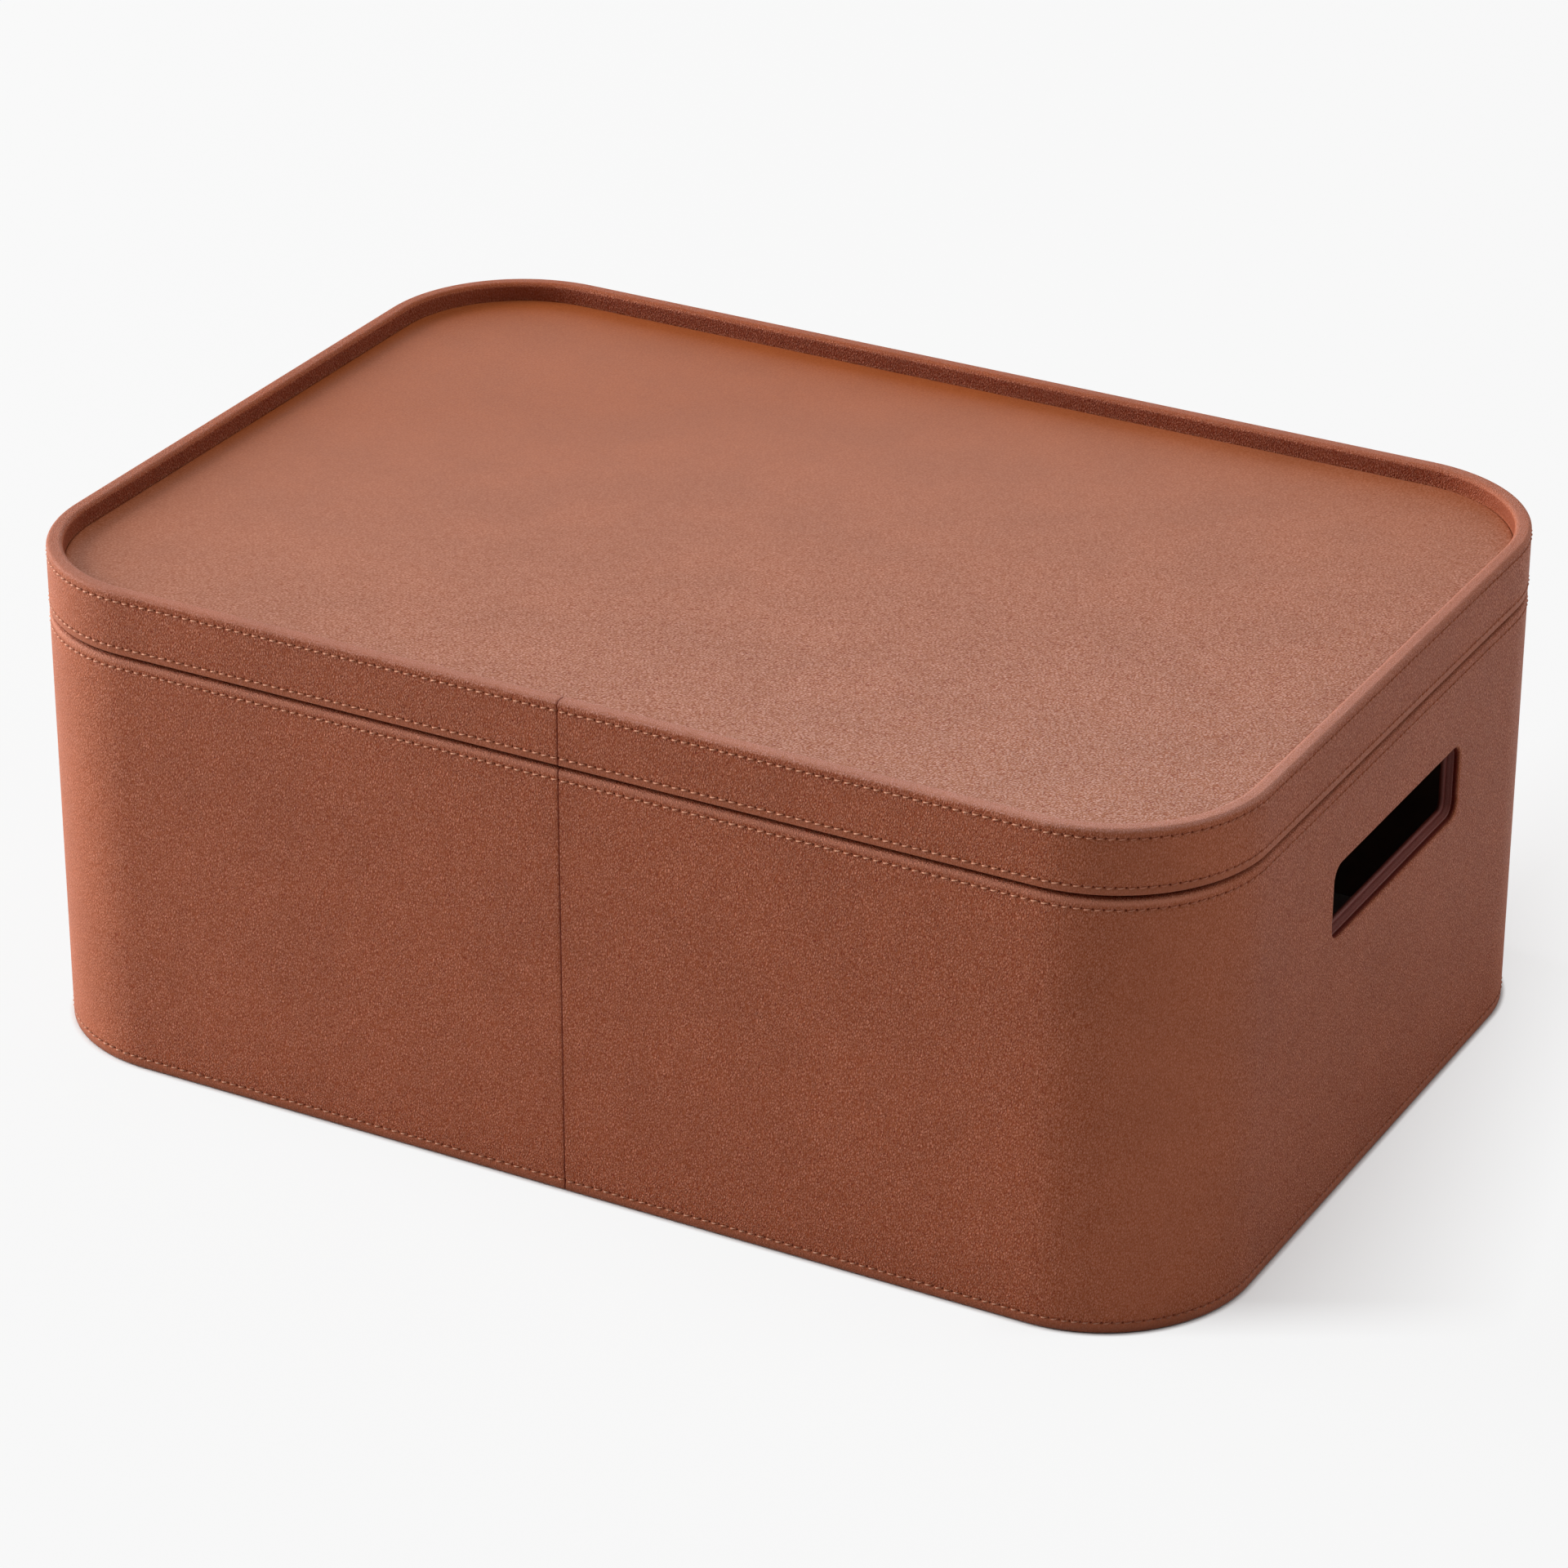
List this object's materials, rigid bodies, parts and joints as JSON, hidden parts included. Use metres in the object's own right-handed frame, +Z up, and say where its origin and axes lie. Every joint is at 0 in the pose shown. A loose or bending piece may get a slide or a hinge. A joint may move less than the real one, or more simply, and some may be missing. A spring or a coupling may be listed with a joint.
{
  "type": "leather storage box",
  "caption": "Rounded rectangular leather-covered box with hand slots in its ends and a loose lid with a rimmed tray top.",
  "frame": {"origin": "on the floor, under the middle of the box", "axes": "+X along the length, towards the right-hand end; +Y to the back; +Z up"},
  "size_m": [0.4302, 0.3004, 0.1736],
  "materials": {
    "leather": "fine pebbled grain, satin",
    "liner_leather": "smooth, satin",
    "suede": "short nap, matt",
    "sole_felt": "pressed felt, matt",
    "board": "raw fibreboard",
    "thread": "waxed thread"
  },
  "bodies": {
    "box_body": {"base_board": "board", "body_back_board": "board", "body_back_left_corner": "board", "body_back_right_corner": "board", "body_foot_stitching": "thread", "body_front_board": "board", "body_front_left_corner": "board", "body_front_right_corner": "board", "body_leather": "leather", "body_left_board": "board", "body_right_board": "board", "body_top_stitching": "thread", "collar_back_board": "board", "collar_back_left_corner": "board", "collar_back_right_corner": "board", "collar_front_board": "board", "collar_front_left_corner": "board", "collar_front_right_corner": "board", "collar_left_board": "board", "collar_lining": "suede", "collar_right_board": "board", "floor_lining": "suede", "left_slot_liner": "liner_leather", "right_slot_liner": "liner_leather", "sole": "sole_felt", "wall_lining": "suede"},
    "lid": {"lid_back_left_corner": "board", "lid_back_rail": "board", "lid_back_right_corner": "board", "lid_band_leather": "leather", "lid_board": "board", "lid_foot_stitching": "thread", "lid_front_left_corner": "board", "lid_front_rail": "board", "lid_front_right_corner": "board", "lid_left_rail": "board", "lid_lining": "suede", "lid_right_rail": "board", "lid_rim_stitching": "thread", "lid_top_leather": "leather"}
  },
  "joints": [
    {"name": "lid_lift", "type": "slide", "parent": "box_body", "child": "lid", "axis": [0, 0, 1], "range_m": [0, 0.2]}
  ]
}
